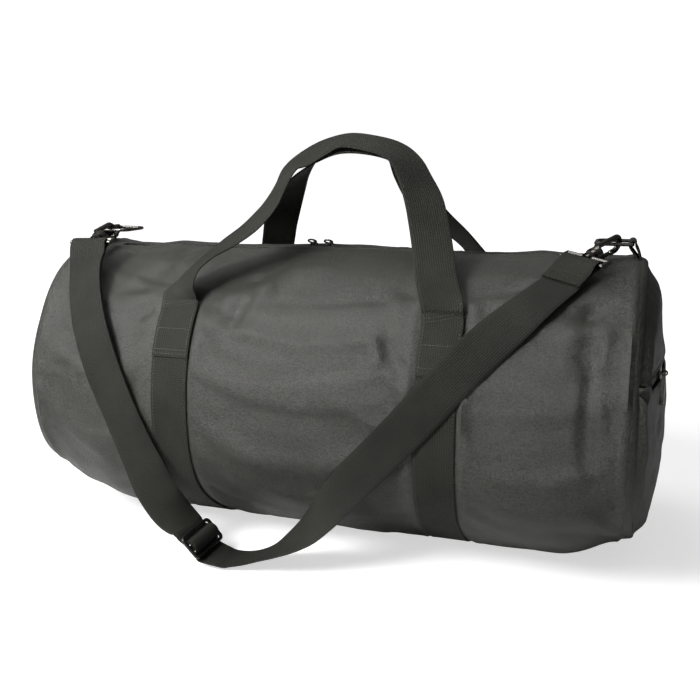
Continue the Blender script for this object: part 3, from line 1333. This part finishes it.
OVER_ADJUSTER = [in_adjuster(*p) for p in (
    (15, -3.6), (10, -3.4), (6.6, 0), (4, 4.2), (0, 5.4), (-4, 4.2), (-6.6, 0), (-10, -3.4))]
LEFT_RUN = [in_adjuster(-16, -5)] + [
    ((-115, -158, 34), (0.25, 0.95, 0.2)), ((-126, -159, 43), (0.5, 0.8, 0.3)),
    ((-136, -160, 55), (0.7, 0.62, 0.35)), ((-147, -160, 72), (0.78, 0.48, 0.38)),
    ((-156, -159, 90), (0.83, 0.25, 0.42)), ((-166, -158, 109), (0.87, 0.12, 0.42)),
    ((-177, -157, 132), (0.88, 0.05, 0.42)), ((-189, -156, 158), (0.88, 0.05, 0.42)),
    ((-201, -153, 183), (0.88, 0.1, 0.42)), ((-212, -147, 205), (0.9, 0.1, 0.42)),
    ((-222, -139, 224), (0.9, 0.1, 0.42)), ((-231, -129, 240), (0.9, 0.1, 0.43)),
    ((-241, -115, 258), (0.9, 0.1, 0.42)), ((-249, -100, 273), (0.93, 0.1, 0.35)),
    ((-255, -88, 283), (0.98, 0.11, 0.12))]
SEWN_LOOP = [in_adjuster(*p) for p in (
    (-11.5, -5.9), (-7, -4.6), (-4.2, -0.8), (-3.2, 2), (0, 3), (3.2, 2), (3.9, -0.5), (2.6, -3),
    (-0.5, -3.3))]


def shoulder_strap():
    """The whole strap, its turns round both hooks' eyes and through the adjuster."""
    turn = lifted(RIGHT_FOLD, -PLY) + round_bar(1, -across_hook(1), [0.45, 0.75, 0.45])
    route = (turn + lifted(RIGHT_FOLD[::-1], -PLY) + RIGHT_RUN + OVER_ADJUSTER
             + lifted(LEFT_RUN, PLY)
             + round_bar(-1, across_hook(-1), [-0.3, 0.75, 0.6])
             + lifted(LEFT_RUN, -PLY)[::-1] + SEWN_LOOP)
    steps = 6
    centres, widths = curve_of(route, steps)
    obj = merged("strap_webbing", [ribbon_parts(centres, widths)])
    place(obj, "strap", "webbing", STRAP_WEB, "shoulder_strap")
    w, m = webbing_axes(centres, widths)
    parts = []
    # box with a cross, where the right end is sewn down, on both outer faces
    run = steps * len(turn)
    for first, last in ((1, steps - 1), (run + 1, run + steps - 1)):
        span = np.arange(first, last + 1)
        face = 1.0 if (m[span[0]] * np.array([0, -1, 1.0])).sum() > 0 else -1.0
        top = centres + m * face * (WEB_T / 2 + 0.06 * MM)
        half = WEB_W / 2 - 4 * MM
        for edge in (-1, 1):
            parts += stitch_parts(top[span] + w[span] * edge * half, m[span] * face)
            cross = np.linspace(-edge * half, edge * half, len(span))
            parts += stitch_parts(top[span] + w[span] * cross[:, None], m[span] * face)
        for k in (span[0], span[-1]):
            row = np.linspace(-half, half, 14)
            parts += stitch_parts(top[k] + w[k] * row[:, None], np.tile(m[k] * face, (14, 1)))
    sew("strap", parts, "strap")


shoulder_strap()


def strap_adjuster():
    """Three-bar slide: a rounded frame and a middle bar with grip ridges."""
    half_t, half_w, bar = 13.4, 22.5, 3.4
    rt, rw = half_t - bar / 2, half_w - bar / 2
    outline = [(*p, 0) for p in rounded_section(2 * rt, 2 * rw, 3.4, 6)]
    section = rounded_section(bar, 3.0, 1.1, 4)
    parts = [sweep_parts(outline, section)]
    # the middle bar, with ridges along it
    ridged = []
    for k in range(28):
        a = 2 * math.pi * k / 28
        r = 1 + (0.12 if k % 2 else 0)
        ridged.append((2.0 * r * math.copysign(abs(math.cos(a)) ** 0.7, math.cos(a)),
                       1.35 * r * math.copysign(abs(math.sin(a)) ** 0.7, math.sin(a))))
    parts.append(sweep_parts([(0, -rw, 0), (0, 0, 0), (0, rw, 0)], ridged, False))
    axes = np.stack([ADJUST_T, ADJUST_W, ADJUST_N], 0)
    placed = [((np.asarray(v) @ axes + ADJUST_AT) * MM, f, u) for v, f, u in parts]
    obj = merged("adjuster_slide", placed, 35)
    place(obj, "strap", "adjuster_plastic", PLASTIC, "strap_adjuster")


strap_adjuster()

# ---- Metal parts kept from the frame ----------------------------------------

FINISH = {"d_ring": NICKEL, "hook_": NICKEL, "gate_pin": NICKEL, "gate_spring": SPRING,
          "zip_slider": ZIP_METAL, "zip_pull": ZIP_METAL, "pocket_zip_slider": ZIP_METAL,
          "pocket_zip_pull": ZIP_METAL}
for node_name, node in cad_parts.items():
    for start, finish in FINISH.items():
        if node_name.startswith(start):
            if not node.material_slots:
                node.data.materials.append(finish)
            for held in node.material_slots:
                held.material = finish

# ---- Stage, light and camera ------------------------------------------------

def stage():
    """A pale floor, a world that is lighter on the left, and three soft lights."""
    corners = [(-6, -6, 0), (6, -6, 0), (6, 6, 0), (-6, 6, 0)]
    floor = new_object("studio_floor", corners, [(0, 1, 2, 3)])
    n = Nodes("floor_paper")
    spot = n.add("ShaderNodeTexCoord").outputs["Object"]
    grain = n.noise(spot, 60.0, 2.0)
    # the paper is lit evenly, out to where the studio's own light ends
    reach = n.add("ShaderNodeVectorMath", {0: spot}, operation="LENGTH").outputs["Value"]
    glow = n.add("ShaderNodeMapRange", {"Value": reach, "From Min": 0.5, "From Max": 2.2,
                                        "To Min": 0.60, "To Max": 1.0}).outputs["Result"]
    n.constant(Emission_Color=(1, 1, 1, 1))
    # the glow is only for rays from the camera, so it doesn't light the bag from below
    seen = n.add("ShaderNodeLightPath").outputs["Is Camera Ray"]
    n.tree.links.new(n.math("MULTIPLY", glow, seen), n.bsdf.inputs["Emission Strength"])
    paper = n.ramp(grain, (0.3, (0.60, 0.60, 0.60)), (0.7, (0.63, 0.63, 0.63)))
    floor.data.materials.append(n.finish(paper, n.spread(grain, 0.7, 0.8)))
    world = bpy.data.worlds.new("studio")
    world.use_nodes = True
    tree = world.node_tree
    back = tree.nodes["Background"]
    # light from each direction, and plain white where the camera sees past the floor
    ray = tree.nodes.new("ShaderNodeTexCoord")
    facing = tree.nodes.new("ShaderNodeVectorMath")
    facing.operation = "DOT_PRODUCT"
    facing.inputs[1].default_value = unit([-0.75, -0.35, 0.55])
    shade = tree.nodes.new("ShaderNodeMapRange")
    for key, value in (("From Min", -0.6), ("From Max", 0.9), ("To Min", 0.055), ("To Max", 0.34)):
        shade.inputs[key].default_value = value
    seen = tree.nodes.new("ShaderNodeLightPath")
    plain = tree.nodes.new("ShaderNodeMix")
    plain.inputs["B"].default_value = 1.02
    tree.links.new(ray.outputs["Generated"], facing.inputs[0])
    tree.links.new(facing.outputs["Value"], shade.inputs["Value"])
    tree.links.new(seen.outputs["Is Camera Ray"], plain.inputs["Factor"])
    tree.links.new(shade.outputs["Result"], plain.inputs["A"])
    tree.links.new(plain.outputs["Result"], back.inputs["Color"])
    bpy.context.scene.world = world
    # place and aim, size in metres, spread in degrees, power in watts
    for name, at, aim, size, spread, power in (
            ("key", (-0.72, -1.10, 1.12), (-0.16, 0, 0.15), 0.62, 80, 8.8),
            ("top", (-0.7, 0.1, 2.4), (0, 0, 0.15), 1.4, 180, 20),
            ("fill", (-1.7, -2.0, 0.8), (0, 0, 0.15), 1.6, 180, 14)):
        light = bpy.data.lights.new(name, "AREA")
        light.energy = power
        light.size = size
        light.spread = math.radians(spread)
        obj = bpy.data.objects.new(name, light)
        bpy.context.scene.collection.objects.link(obj)
        obj.location = at
        obj.rotation_euler = (Vector(aim) - Vector(at)).to_track_quat("-Z", "Y").to_euler()


stage()
bpy.context.scene.view_settings.view_transform = "Standard"

CAMERA_ABOVE, CAMERA_RIGHT = 12.38, 18.11   # degrees

camera = bpy.data.cameras.new("camera")
camera.lens = 44.69
camera.sensor_width = 36
camera.clip_start = 0.01
camera_object = bpy.data.objects.new("camera", camera)
camera_object.location = (0.286, -0.863, 0.382)
camera_object.rotation_euler = (math.radians(90 - CAMERA_ABOVE), 0, math.radians(CAMERA_RIGHT))
bpy.context.scene.collection.objects.link(camera_object)
bpy.context.scene.camera = camera_object
